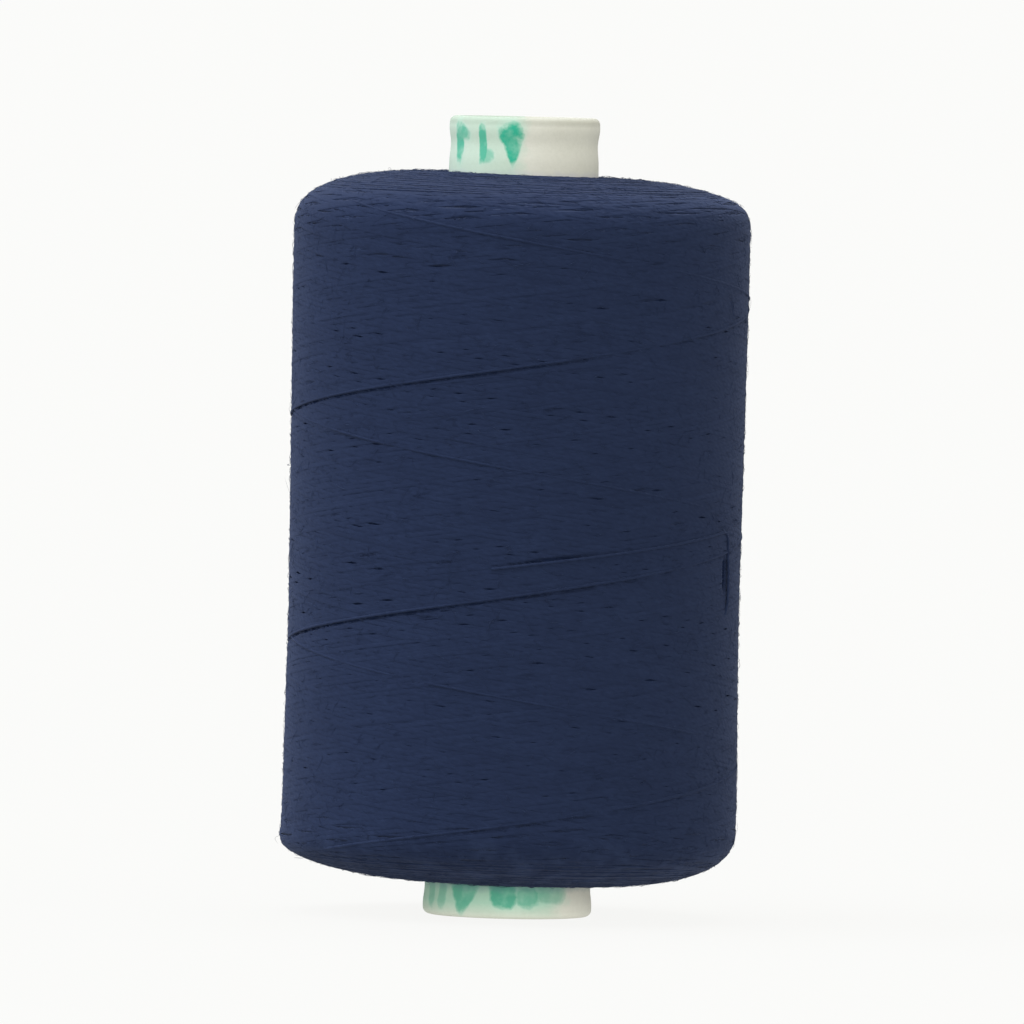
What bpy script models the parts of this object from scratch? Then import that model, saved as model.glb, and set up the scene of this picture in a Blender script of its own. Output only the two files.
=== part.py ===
"""Spool of sewing thread: one long spun thread cross-wound on a tapered paper tube.

Metres, +Z up. The spool stands on the wide end of its tube, with the origin at
the middle of that end and the tube's axis along +Z. The front is -Y. Angles
round the spool are measured from the front, positive towards +X.
"""

import math

import bpy

MM = 0.001

# Tube: glued plies with a rolled-in rim at each end.
TUBE_LENGTH = 61.0 * MM
FOOT_RADIUS = 6.40 * MM
TOP_RADIUS = 5.67 * MM
COVER_THICKNESS = 0.30 * MM
BOARD_THICKNESS = 0.60 * MM
LINER_THICKNESS = 0.30 * MM
GLUE_GAP = 0.10 * MM
RIM_CORNER = 0.45 * MM
BORE_CHAMFER = 0.12 * MM
BEAD_CENTRE = 0.75 * MM
GROOVE_CENTRE = 2.2 * MM
RIDGE_HALF_WIDTH = 1.4 * MM
TOP_BEAD, TOP_GROOVE = 0.10 * MM, 0.09 * MM
FOOT_BEAD, FOOT_GROOVE = 0.07 * MM, 0.04 * MM
RIM_STEPS = 3
TUBE_SEGMENTS = 36

# Wound package.
PACKAGE_BOTTOM = 2.6 * MM
PACKAGE_TOP = 56.6 * MM
DOME_DEPTH = 4.5 * MM
DOME_POWER = 2.5
SIDE_RADII = ((9.5 * MM, 17.36 * MM), (23.0 * MM, 17.20 * MM), (48.0 * MM, 17.42 * MM))
SIDE_STEP = 6.0 * MM
DOME_STEPS = 8
PACKAGE_SEGMENTS = 44
PACKAGE_CLEARANCE = 0.30 * MM
POCKET_CLEARANCE = 0.65 * MM

# Thread.
THREAD_RADIUS = 0.125 * MM
SURFACE_GAP = 0.15 * MM
PITCH = 17.3 * MM
TURN_STEPS = 34
UP_PASS_AT_FRONT = 25.0 * MM
DOWN_PASS_AT_FRONT = 34.5 * MM
PASS_BOTTOM = 4.4 * MM
PASS_TOP = 54.8 * MM
CROSSING_HALF_ANGLE = math.radians(18.0)
FIRST_TURNS = 3
FIRST_TURN_PITCH = 0.45 * MM
FIRST_TURNS_BOTTOM = 6.0 * MM
POCKET_MARGIN = 0.8 * MM
FIRST_TURN_STEPS = 28

# The thread's outer end: it lies beside the up pass, turns down and is tucked
# under it.
END_START_ANGLE = math.radians(-6.0)
END_TURN_ANGLE = math.radians(66.0)
END_START_HEIGHT = 26.6 * MM
END_RISE_ANGLE = math.radians(7.5)
END_BEND_RADIUS = 0.9 * MM
END_TIP_HEIGHT = 23.4 * MM
END_STEP = 1.4 * MM
END_BEND_STEPS = 5

PAPER = (0.62, 0.61, 0.53, 1.0)
BOARD = (0.45, 0.42, 0.36, 1.0)
NAVY = (0.021, 0.031, 0.070, 1.0)

TUBE_WALL = COVER_THICKNESS + BOARD_THICKNESS + LINER_THICKNESS + 2 * GLUE_GAP


def clear_scene():
    for obj in list(bpy.data.objects):
        bpy.data.objects.remove(obj, do_unlink=True)


def make_material(name, colour, roughness):
    material = bpy.data.materials.new(name)
    material.use_nodes = True
    shader = material.node_tree.nodes["Principled BSDF"]
    shader.inputs["Base Color"].default_value = colour
    shader.inputs["Roughness"].default_value = roughness
    shader.inputs["Metallic"].default_value = 0.0
    material.diffuse_color = colour
    return material


def add_part(name, data, material, collection, parent):
    """An object for one real piece, with its material, under the spool's empty."""
    data.materials.append(material)
    obj = bpy.data.objects.new(name, data)
    collection.objects.link(obj)
    obj.parent = parent
    return obj


def turned(name, outline, segments, material, collection, parent):
    """A solid of revolution about Z from a closed outline of (radius, height)
    points that runs down its outer side."""
    mesh = bpy.data.meshes.new(name)
    count = len(outline)
    points = [(radius, 0.0, height) for radius, height in outline]
    edges = [(i, (i + 1) % count) for i in range(count)]
    mesh.from_pydata(points, edges, [])
    obj = add_part(name, mesh, material, collection, parent)
    screw = obj.modifiers.new("Turn", "SCREW")
    screw.axis = "Z"
    screw.angle = math.tau
    screw.steps = segments
    screw.render_steps = segments
    screw.use_merge_vertices = True
    screw.merge_threshold = 1e-6
    screw.use_smooth_shade = True
    return obj


def wire(name, points, material, collection, parent):
    """A stretch of thread along a list of points."""
    curve = bpy.data.curves.new(name, "CURVE")
    curve.dimensions = "3D"
    curve.bevel_depth = THREAD_RADIUS
    curve.bevel_resolution = 2
    curve.use_fill_caps = True
    spline = curve.splines.new("POLY")
    spline.points.add(len(points) - 1)
    for spline_point, (x, y, z) in zip(spline.points, points):
        spline_point.co = (x, y, z, 1.0)
    return add_part(name, curve, material, collection, parent)


def arc(centre, radius, start, end, steps):
    """Points on an arc in the (radius, height) plane, both ends included."""
    turn = [start + (end - start) * i / steps for i in range(steps + 1)]
    return [
        (centre[0] + radius * math.cos(t), centre[1] + radius * math.sin(t))
        for t in turn
    ]


def bell(distance, half_width):
    """1 at distance 0, falling smoothly to 0 at the half width."""
    share = min(abs(distance) / half_width, 1.0)
    return 0.5 + 0.5 * math.cos(math.pi * share)


def tube_radius(height):
    """The plain taper of the tube's outside."""
    return FOOT_RADIUS + (TOP_RADIUS - FOOT_RADIUS) * height / TUBE_LENGTH


def rim_offset(from_end, bead, groove):
    """How far the cover stands out of the plain taper near one end."""
    return bead * bell(from_end - BEAD_CENTRE, RIDGE_HALF_WIDTH) - groove * bell(
        from_end - GROOVE_CENTRE, RIDGE_HALF_WIDTH
    )


def rim_side(bead, groove, at_top):
    """The outer side of one rim, from its corner inwards along the tube."""
    side = []
    last = GROOVE_CENTRE + RIDGE_HALF_WIDTH
    for i in range(2 * RIM_STEPS + 1):
        from_end = RIM_CORNER + (last - RIM_CORNER) * i / (2 * RIM_STEPS)
        height = TUBE_LENGTH - from_end if at_top else from_end
        side.append((tube_radius(height) + rim_offset(from_end, bead, groove), height))
    return side


def make_cover(material, collection, parent):
    """The printed outer ply, turned in over both rims as far as the bore."""
    top_side = rim_side(TOP_BEAD, TOP_GROOVE, at_top=True)
    foot_side = rim_side(FOOT_BEAD, FOOT_GROOVE, at_top=False)
    top_corner = arc(
        (top_side[0][0] - RIM_CORNER, TUBE_LENGTH - RIM_CORNER),
        RIM_CORNER,
        math.pi / 2,
        0.0,
        RIM_STEPS,
    )
    foot_corner = arc(
        (foot_side[0][0] - RIM_CORNER, RIM_CORNER),
        RIM_CORNER,
        0.0,
        -math.pi / 2,
        RIM_STEPS,
    )
    bore_top = tube_radius(TUBE_LENGTH) - TUBE_WALL
    bore_foot = tube_radius(0.0) - TUBE_WALL
    lip_top = TUBE_LENGTH - COVER_THICKNESS
    lip_foot = COVER_THICKNESS
    outline = [(bore_top, TUBE_LENGTH - BORE_CHAMFER)]
    outline += [(bore_top + BORE_CHAMFER, TUBE_LENGTH)]
    outline += top_corner + top_side[1:]
    outline += foot_side[:0:-1] + foot_corner
    outline += [(bore_foot + BORE_CHAMFER, 0.0)]
    outline += [(bore_foot, BORE_CHAMFER), (bore_foot, lip_foot)]
    outline += [(tube_radius(lip_foot) - COVER_THICKNESS, lip_foot)]
    outline += [(tube_radius(lip_top) - COVER_THICKNESS, lip_top)]
    outline += [(bore_top, lip_top)]
    return turned("tube_cover", outline, TUBE_SEGMENTS, material, collection, parent)


def make_ply(name, outer_depth, thickness, material, collection, parent):
    """A plain ply inside the cover; outer_depth is measured from the taper."""
    low = COVER_THICKNESS + GLUE_GAP
    high = TUBE_LENGTH - low
    outline = [
        (tube_radius(high) - outer_depth, high),
        (tube_radius(low) - outer_depth, low),
        (tube_radius(low) - outer_depth - thickness, low),
        (tube_radius(high) - outer_depth - thickness, high),
    ]
    return turned(name, outline, TUBE_SEGMENTS, material, collection, parent)


def side_radius(height):
    """The package's radius along its side, eased between the named radii."""
    if height <= SIDE_RADII[0][0]:
        return SIDE_RADII[0][1]
    for (low, low_radius), (high, high_radius) in zip(SIDE_RADII, SIDE_RADII[1:]):
        if height <= high:
            share = (height - low) / (high - low)
            ease = share * share * (3 - 2 * share)
            return low_radius + (high_radius - low_radius) * ease
    return SIDE_RADII[-1][1]


def dome_drop(radius, side):
    """How far an end of the package has fallen away at a radius: a superellipse
    from the tube out to the side's radius."""
    inner = tube_radius(PACKAGE_TOP)
    share = (radius - inner) / (side - inner)
    return DOME_DEPTH * (1 - (1 - share**DOME_POWER) ** (1 / DOME_POWER))


def package_radius(height):
    """The package's outer radius at a height, its domed ends included."""
    side = side_radius(height)
    from_end = min(height - PACKAGE_BOTTOM, PACKAGE_TOP - height)
    if from_end >= DOME_DEPTH:
        return side
    inner = tube_radius(PACKAGE_TOP)
    share = (1 - (1 - from_end / DOME_DEPTH) ** DOME_POWER) ** (1 / DOME_POWER)
    return inner + (side - inner) * share


def dome(side, clearance_radius):
    """One end of the package as (radius, drop) points from the tube outwards,
    closer together where the shoulder turns."""
    points = []
    for i in range(DOME_STEPS + 1):
        share = math.sin(math.pi / 2 * i / DOME_STEPS)
        radius = clearance_radius + (side - clearance_radius) * share
        points.append((radius, dome_drop(radius, side)))
    return points


def make_winding(material, collection, parent):
    """The wound body of the package, with a pocket round the first turns."""
    top_inner = tube_radius(PACKAGE_TOP) + PACKAGE_CLEARANCE
    bottom_inner = tube_radius(PACKAGE_BOTTOM) + PACKAGE_CLEARANCE
    side_top = PACKAGE_TOP - DOME_DEPTH
    side_bottom = PACKAGE_BOTTOM + DOME_DEPTH
    outline = [(r, PACKAGE_TOP - drop) for r, drop in dome(side_radius(side_top), top_inner)]
    side_steps = round((side_top - side_bottom) / SIDE_STEP)
    for i in range(1, side_steps):
        height = side_top + (side_bottom - side_top) * i / side_steps
        outline.append((side_radius(height), height))
    foot = dome(side_radius(side_bottom), bottom_inner)
    outline += [(r, PACKAGE_BOTTOM + drop) for r, drop in foot[::-1]]
    pocket_low = FIRST_TURNS_BOTTOM - POCKET_MARGIN
    pocket_high = FIRST_TURNS_BOTTOM + FIRST_TURNS * FIRST_TURN_PITCH + POCKET_MARGIN
    for height, clearance in (
        (pocket_low, PACKAGE_CLEARANCE),
        (pocket_low, POCKET_CLEARANCE),
        (pocket_high, POCKET_CLEARANCE),
        (pocket_high, PACKAGE_CLEARANCE),
    ):
        outline.append((tube_radius(height) + clearance, height))
    return turned(
        "thread_winding", outline, PACKAGE_SEGMENTS, material, collection, parent
    )


def on_package(angle, height, lift):
    """A point at a distance above the package's surface."""
    radius = package_radius(height) + lift
    return (radius * math.sin(angle), -radius * math.cos(angle), height)


def make_first_turns(material, collection, parent):
    """The inner end of the thread: the turns that grip the tube."""
    steps = FIRST_TURNS * FIRST_TURN_STEPS
    points = []
    for i in range(steps + 1):
        angle = math.tau * i / FIRST_TURN_STEPS
        height = FIRST_TURNS_BOTTOM + FIRST_TURN_PITCH * i / FIRST_TURN_STEPS
        radius = tube_radius(height) + POCKET_CLEARANCE / 2
        points.append((radius * math.sin(angle), -radius * math.cos(angle), height))
    return wire("thread_first_turns", points, material, collection, parent)


def pass_angles(at_front, direction):
    """The angles at which a pass leaves one shoulder and reaches the other."""
    ends = [
        direction * (height - at_front) / PITCH * math.tau
        for height in (PASS_BOTTOM, PASS_TOP)
    ]
    return min(ends), max(ends)


def end_bend_angle():
    """The angle at which the thread's outer end hangs straight down."""
    across = END_BEND_RADIUS * (1 - math.sin(END_RISE_ANGLE))
    return END_TURN_ANGLE + across / SIDE_RADII[1][1]


def crossing_angles():
    """Where the up pass crosses over the down pass and over the tucked end."""
    first = math.pi * (DOWN_PASS_AT_FRONT - UP_PASS_AT_FRONT) / PITCH
    low, high = pass_angles(UP_PASS_AT_FRONT, 1)
    turns = range(math.floor((low - first) / math.pi), math.ceil((high - first) / math.pi) + 1)
    return [first + math.pi * k for k in turns] + [end_bend_angle()]


def make_pass(name, at_front, direction, crossings, material, collection, parent):
    """One traverse of the thread along the package, direction 1 or -1. It is
    lifted over whatever it crosses."""
    start, finish = pass_angles(at_front, direction)
    steps = math.ceil((finish - start) / math.tau * TURN_STEPS)
    over = 2 * THREAD_RADIUS + SURFACE_GAP
    points = []
    for i in range(steps + 1):
        angle = start + (finish - start) * i / steps
        height = at_front + direction * PITCH * angle / math.tau
        lift = THREAD_RADIUS + SURFACE_GAP
        lift += over * max(
            (bell(angle - c, CROSSING_HALF_ANGLE) for c in crossings), default=0.0
        )
        points.append(on_package(angle, height, lift))
    return wire(name, points, material, collection, parent)


def make_thread_end(material, collection, parent):
    """The outer end: beside the up pass, round a small bend and straight down
    under it."""
    reach = SIDE_RADII[1][1]
    lift = THREAD_RADIUS + SURFACE_GAP
    run = reach * (END_TURN_ANGLE - END_START_ANGLE)
    run_steps = round(run / END_STEP)
    flat = [
        (run * i / run_steps, run * i / run_steps * math.tan(END_RISE_ANGLE))
        for i in range(run_steps + 1)
    ]
    turn_x, turn_z = flat[-1]
    centre_x = turn_x + END_BEND_RADIUS * math.sin(END_RISE_ANGLE)
    centre_z = turn_z - END_BEND_RADIUS * math.cos(END_RISE_ANGLE)
    bend_start = math.pi / 2 + END_RISE_ANGLE
    for i in range(1, END_BEND_STEPS + 1):
        t = bend_start * (1 - i / END_BEND_STEPS)
        flat.append(
            (
                centre_x + END_BEND_RADIUS * math.cos(t),
                centre_z + END_BEND_RADIUS * math.sin(t),
            )
        )
    hang_x, hang_z = flat[-1]
    drop = END_START_HEIGHT + hang_z - END_TIP_HEIGHT
    drop_steps = round(drop / END_STEP)
    flat += [(hang_x, hang_z - drop * i / drop_steps) for i in range(1, drop_steps + 1)]
    points = [
        on_package(END_START_ANGLE + x / reach, END_START_HEIGHT + z, lift)
        for x, z in flat
    ]
    return wire("thread_end", points, material, collection, parent)


def main():
    clear_scene()
    collection = bpy.data.collections.new("thread_spool")
    bpy.context.scene.collection.children.link(collection)
    spool = bpy.data.objects.new("spool", None)
    collection.objects.link(spool)

    paper = make_material("tube_paper", PAPER, 0.75)
    board = make_material("tube_greyboard", BOARD, 0.9)
    thread = make_material("navy_thread", NAVY, 0.85)

    make_cover(paper, collection, spool)
    board_depth = COVER_THICKNESS + GLUE_GAP
    make_ply("tube_board", board_depth, BOARD_THICKNESS, board, collection, spool)
    liner_depth = board_depth + BOARD_THICKNESS + GLUE_GAP
    make_ply("tube_liner", liner_depth, LINER_THICKNESS, paper, collection, spool)

    make_first_turns(thread, collection, spool)
    make_winding(thread, collection, spool)
    make_pass("thread_down_pass", DOWN_PASS_AT_FRONT, -1, [], thread, collection, spool)
    make_pass(
        "thread_up_pass", UP_PASS_AT_FRONT, 1, crossing_angles(), thread, collection, spool
    )
    make_thread_end(thread, collection, spool)


main()
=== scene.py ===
"""Looks of a spool of navy sewing thread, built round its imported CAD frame.

The thread is laid pass by pass over the package, each pass resting on the ones
below it, so the crossings, the small gaps and the proud strands are geometry.
Lengths inside the thread and tube functions are in millimetres; everything that
reaches Blender is in metres. Angles round the spool start at the front, -Y, and
grow towards +X. A column is one of COLUMNS equal steps round the spool, and
"along" is the distance along the package's outline, from its foot to its top.
"""

import math
from collections import namedtuple

import bpy
import numpy as np
from mathutils import Matrix, Vector


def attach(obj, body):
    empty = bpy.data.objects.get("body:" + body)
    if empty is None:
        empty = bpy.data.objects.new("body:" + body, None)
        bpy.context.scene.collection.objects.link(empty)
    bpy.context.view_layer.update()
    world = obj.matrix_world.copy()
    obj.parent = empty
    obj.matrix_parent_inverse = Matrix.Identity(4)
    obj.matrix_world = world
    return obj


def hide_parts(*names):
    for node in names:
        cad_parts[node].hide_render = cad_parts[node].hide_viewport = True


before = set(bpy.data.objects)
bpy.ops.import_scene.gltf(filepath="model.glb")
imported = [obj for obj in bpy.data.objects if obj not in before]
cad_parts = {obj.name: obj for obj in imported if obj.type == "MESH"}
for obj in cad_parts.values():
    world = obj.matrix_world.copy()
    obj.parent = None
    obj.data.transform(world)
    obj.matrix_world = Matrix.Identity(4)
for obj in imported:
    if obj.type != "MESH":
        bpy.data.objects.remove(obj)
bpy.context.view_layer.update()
MM = 0.001
FULL_TURN = 2 * math.pi

# Camera: far away, a little above the spool, with the spool leaning in its view.
CAMERA_DISTANCE = 1.3
CAMERA_HEIGHT = 0.072
VIEW_WIDTH = 0.0782
VIEW_LEAN = math.radians(1.32)
AIM_RIGHT = -0.0003
AIM_UP = 0.0308
SENSOR = 36.0

# Soft lights: name, azimuth, elevation, irradiance, spread, colour.
SOFT_LIGHTS = (
    ("key", -80, 50, 4.0, 60, (0.865, 0.925, 1.07)),
    ("overhead", 180, 68, 2.35, 40, (1.0, 1.0, 1.0)),
    ("front_fill", 0, 7, 2.25, 22, (1.0, 1.0, 1.0)),
    ("right_fill", 85, 20, 0.6, 60, (1.0, 1.0, 1.0)),
)
SKY = (0.965, 0.965, 0.95)

# The floor's own glow brings it up to the backdrop's tone.
FLOOR_COLOUR = (0.021, 0.021, 0.0205)
FLOOR_GLOW_COLOUR = (1.0, 1.0, 0.984)
FLOOR_GLOW = 0.908
FLOOR_HALF_SIZE = 400.0

# Thread: the winding's strands, the last passes, and one turn of the two plies.
STRAND_RADIUS = 0.180
STRAND_FLAT = 0.10
PASS_RADIUS = 0.12
PASS_FLAT = 0.95
PASS_PLIES = 0.20
PLY_LAY = 0.75

# How threads rest on each other: the share of their thickness that adds up, the share
# of their width that bears, how unevenly they lie, and how far a taut one bridges.
PACKING = 0.035
END_PACKING = 0.02
BEARING = 0.45
UNEVEN = 0.009
UNEVEN_STEP = 13
TAUT_COLUMNS = 11

# Map of the package's surface: columns round the spool, rows along its outline.
COLUMNS = 480
ROW = 0.04
MERIDIAN_STEP = 0.05

# The package's outline repeats the CAD's.
PACKAGE_BOTTOM, PACKAGE_TOP = 2.6, 56.6
DOME_DEPTH, DOME_POWER = 4.5, 2.5
SIDE_HEIGHTS = (7.1, 9.5, 23.0, 48.0, 52.1)
SIDE_RADII = (17.36, 17.36, 17.20, 17.42, 17.42)
SIDE_RADIUS = 17.2
COLUMN_WIDTH = FULL_TURN * SIDE_RADIUS / COLUMNS

# Both its ends slope down to the right. The right shoulder at the top and the left one
# at the foot are fuller: share of the radius, height and half height.
TOP_LEAN, TOP_LEAN_FROM = 0.020, 47.0
FOOT_LEAN, FOOT_LEAN_BELOW = 0.014, 12.0
TOP_SHOULDER = (0.046, 55.2, 1.5)
FOOT_SHOULDER = (0.050, 4.4, 1.5)

# The wound body under the modelled strands.
CORE_DEPTH = 0.10
CORE_STEP = 12
CORE_SEGMENTS = 96
POCKET_CLEARANCE = 0.02

# Traverses: each pass starts a golden-ratio share of a turn after the last one of
# its hand, which spreads the passes evenly over the surface. BEND is the number of
# columns over which a pass turns back.
GOLDEN = (math.sqrt(5) - 1) / 2
SILVER = math.sqrt(2) - 1
TRAVERSE_PITCH = 14.4
BEND = 24
SHARE_SCATTER = 0.003
DRIFT_STEP, DRIFT_SIZE = 90, 0.045
LAYER_NAMES = ("thread_layer_inner", "thread_layer_lower", "thread_layer_upper", "thread_layer_outer")
PASSES_PER_LAYER = 32
COLUMN_STEP = 5
END_COLUMN_STEP = 6
TURN_BACK_NEAR = 8.6
TURN_BACK_FAR = TURN_BACK_NEAR + TRAVERSE_PITCH / 2

# Turns on the end faces. Lengths are shares of a turn, overlaps shares of a length, and
# the ends of each bow away and dive under.
END_FIRST, END_SPACING, END_SCATTER = 0.20, 0.13, 0.05
END_LENGTHS = (0.14, 0.30)
END_OVERLAPS = (0.60, 0.90)
END_BOW = 0.20
END_DIVE = 0.04

# The last two traverses and the thread's end follow the CAD's own routes. Each pass:
# height at the front, direction, how deep it lies, and the furrow it presses, with its
# depth, half width and offset to one side.
PITCH = 17.3
UP_PASS = (25.0, 1, 0.15, (0.36, 0.095, -0.18))
DOWN_PASS = (34.5, -1, 0.18, (0.05, 0.12, -0.15))
PASS_BOTTOM = 4.4
PASS_TOP = 54.8
PASS_WAVE, PASS_WAVE_STEP = 0.05, 14
PASS_END_DIVE, PASS_END_COLUMNS = 0.35, 25.0
END_START_ANGLE = math.radians(-6.0)
END_TURN_ANGLE = math.radians(66.0)
END_START_HEIGHT = 27.0
END_RISE_ANGLE = math.radians(7.5)
END_BEND_RADIUS = 0.9
END_TIP_HEIGHT = 23.4
END_STEP = 0.12
END_SWAY, END_SWAY_LENGTH = 0.10, 1.7
END_DEPTH = 0.06

# The traverses' furrows: shares of their depth at some azimuths; ripples, as amount,
# waves a radian and phase a millimetre; between which heights they reach their depth;
# and how they stop short of the passes' ends.
FURROW_AZIMUTHS = (-180, -120, -90, -70, -5, 10, 24, 60, 100, 150, 180)
FURROW_SHARES = (0.20, 0.50, 0.80, 0.85, 0.85, 0.62, 0.24, 0.16, 0.30, 0.50, 0.20)
FURROW_RIPPLES = ((0.14, 27.0, 0.0), (0.20, 61.0, 0.5))
FURROW_FROM, FURROW_FULL = -1.0, 15.0
FURROW_STOP, FURROW_FADE = 1.0, 2.0

# Round the thread's end: its furrow and the gap beside its fall, as above; middle and
# half size of the area as arc and height; where along the route the furrow is deepest,
# how far that reaches and how deep the rest is; and where the gap opens and closes.
END_FURROW = (0.40, 0.11, 0.19)
FALLING_FURROW = (0.26, 0.32, 0.50)
END_AREA = ((9.5, 12.5), (26.5, 4.5))
END_DEEPEST_AT, END_DEEPEST_REACH, END_SHALLOW = 0.16, 0.085, 0.10
END_TIP_REACH = 0.05
FALLS_FROM, FALLS_TO = 0.822, 0.945
FALL_OPENS, FALL_CLOSES = 0.03, 0.04

# Nicks: small gaps between neighbouring turns. The plain ones have azimuth in degrees,
# height and half length, the others ranges, with lengths in columns.
PLAIN_NICKS = (
    (-67, 40.5, 0.8), (-15, 53.4, 1.2), (-16, 50.5, 0.8), (36, 50.3, 0.7), (33, 47.5, 0.7),
    (56, 47.3, 0.9), (8, 39.1, 0.7), (33, 33.2, 0.6), (-25, 32.4, 0.5), (-17, 27.4, 0.8),
    (-41, 27.7, 1.4), (46, 30.6, 0.6), (66, 30.2, 0.7), (75, 30.7, 0.8), (-34, 26.3, 0.5),
    (-23, 23.2, 0.6),
)
PLAIN_NICK_SLOPE, PLAIN_NICK_DEPTH = 0.6, 0.17
NICKS = 50
NICK_LENGTHS = (2, 9)
NICK_SLOPES = (0.4, 0.8)
NICK_DEPTHS = (0.02, 0.08)
NICK_MARGIN = 30
NICK_ROWS, NICK_HALF_WIDTH = 6, 2.4

# Pressed strands: where a furrow calls for closer sections, how much painted shade darkens them
# with the depth of furrows and nicks, and the depth above which strands shade as they lie.
PRESS_REACH, PRESS_SEEN = 0.14, 0.012
PAINTED_SHADE_IN_FURROW = 30.0
LEVEL = 0.03

# Fibres of the spun thread: spread is of their headings, growth scales their length
# over the shortest, and looped is the share that bend back.
Fibres = namedtuple("Fibres", "name seed count points spread shortest growth rise looped")
LYING = Fibres("lying_fibres", 5, 7600, 5, 0.55, 0.30, 0.25, (0.03, 0.12), 0.8)
STANDING = Fibres("standing_fibres", 6, 120, 9, 0.9, 0.5, 0.45, (0.10, 0.38), 0.5)
FIBRE_SIDES = 3
FIBRE_RADII = (0.009, 0.017)
FULL_RISE_LENGTH = 1.2

# The cover's outline repeats the CAD's, with finer steps. Each rim has a bead that
# stands out and a groove behind it.
TUBE_LENGTH = 61.0
FOOT_RADIUS, TOP_RADIUS = 6.40, 5.67
TUBE_WALL = 1.4
COVER_THICKNESS = 0.30
RIM_CORNER = 0.5
BORE_CHAMFER = 0.12
BEAD_CENTRE, GROOVE_CENTRE, RIDGE_HALF_WIDTH = 0.75, 2.2, 1.4
TOP_RIM = (0.09, 0.075)
FOOT_RIM = (0.07, 0.04)
RIM_DEPTH, RIM_STEPS, CORNER_STEPS = 5.0, 28, 8
COVER_SEGMENTS = 144


def add_object(name, data):
    obj = bpy.data.objects.new(name, data)
    bpy.context.scene.collection.objects.link(obj)
    return obj


def make_mesh(name, points, quads, uv=None, tone=None, normals=None):
    """A smooth mesh object from quads, in millimetres. uv holds a pair for each
    corner of each quad, tone a number for each point and normals a vector for each
    point, where zero leaves that point's own."""
    mesh = bpy.data.meshes.new(name)
    mesh.vertices.add(len(points))
    mesh.vertices.foreach_set("co", (points * MM).astype(np.float32).ravel())
    mesh.loops.add(quads.size)
    mesh.loops.foreach_set("vertex_index", quads.astype(np.int32).ravel())
    mesh.polygons.add(len(quads))
    mesh.polygons.foreach_set("loop_start", np.arange(0, quads.size, 4, dtype=np.int32))
    mesh.update(calc_edges=True)
    if uv is not None:
        layer = mesh.uv_layers.new(name="along_thread")
        layer.data.foreach_set("uv", uv.astype(np.float32).ravel())
    if tone is not None:
        attribute = mesh.attributes.new("tone", "FLOAT", "POINT")
        attribute.data.foreach_set("value", tone.astype(np.float32))
    mesh.polygons.foreach_set("use_smooth", np.ones(len(quads), dtype=bool))
    if normals is not None:
        mesh.normals_split_custom_set_from_vertices(normals)
    return add_object(name, mesh)


def finish_piece(obj, material, slot, *nodes):
    """Gives a piece its material and its body, and hides the CAD nodes it stands in for. slot is not
    used.
    """
    obj.data.materials.clear()
    obj.data.materials.append(material)
    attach(obj, "root")
    if nodes:
        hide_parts(*nodes)
    return obj


# ---- the package's shape


def tube_radius(height):
    return FOOT_RADIUS + (TOP_RADIUS - FOOT_RADIUS) * height / TUBE_LENGTH


def unit(vectors):
    return vectors / np.linalg.norm(vectors, axis=-1, keepdims=True)


def smooth(values, times):
    """Repeated three-point averages that leave both ends where they are."""
    for _ in range(times):
        values[1:-1] = (values[:-2] + 2 * values[1:-1] + values[2:]) / 4
    return values


Meridian = namedtuple("Meridian", "along radius height out up")


def package_meridian():
    """The package's outline, from the tube under the foot, out and up the side and
    in again over the top: distance, radius, height, and the outward normal's radial
    and upward shares."""
    t = np.linspace(0, math.pi / 2, 400)
    share = np.sin(t) ** (2 / DOME_POWER)
    drop = DOME_DEPTH * (1 - np.cos(t) ** (2 / DOME_POWER))
    inner = tube_radius(PACKAGE_TOP)
    side = np.linspace(PACKAGE_BOTTOM + DOME_DEPTH, PACKAGE_TOP - DOME_DEPTH, 400)
    radii = np.concatenate([
        inner + (SIDE_RADII[0] - inner) * share,
        np.interp(side, SIDE_HEIGHTS, SIDE_RADII),
        inner + (SIDE_RADII[-1] - inner) * share[::-1]])
    heights = np.concatenate([PACKAGE_BOTTOM + drop, side, PACKAGE_TOP - drop[::-1]])
    keep = radii > tube_radius(heights) + 0.05
    radii, heights = radii[keep], heights[keep]
    along = np.append(0, np.cumsum(np.hypot(np.diff(heights), np.diff(radii)) + 1e-9))
    fine = np.arange(0, along[-1], MERIDIAN_STEP)
    radius = smooth(np.interp(fine, along, radii), 30)
    height = smooth(np.interp(fine, along, heights), 30)
    tangent_r = np.gradient(radius)
    tangent_h = np.gradient(height)
    length = np.hypot(tangent_r, tangent_h)
    return Meridian(fine, radius, height, tangent_h / length, -tangent_r / length)


MERIDIAN = package_meridian()
OUTLINE_LENGTH = MERIDIAN.along[-1]
MAP_ROWS = int(OUTLINE_LENGTH / ROW) + 2


def at_meridian(values, along):
    return np.interp(along, MERIDIAN.along, values)


def along_at(height):
    """The distance along the outline at a height on the package's side."""
    return np.interp(height, MERIDIAN.height, MERIDIAN.along)


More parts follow.
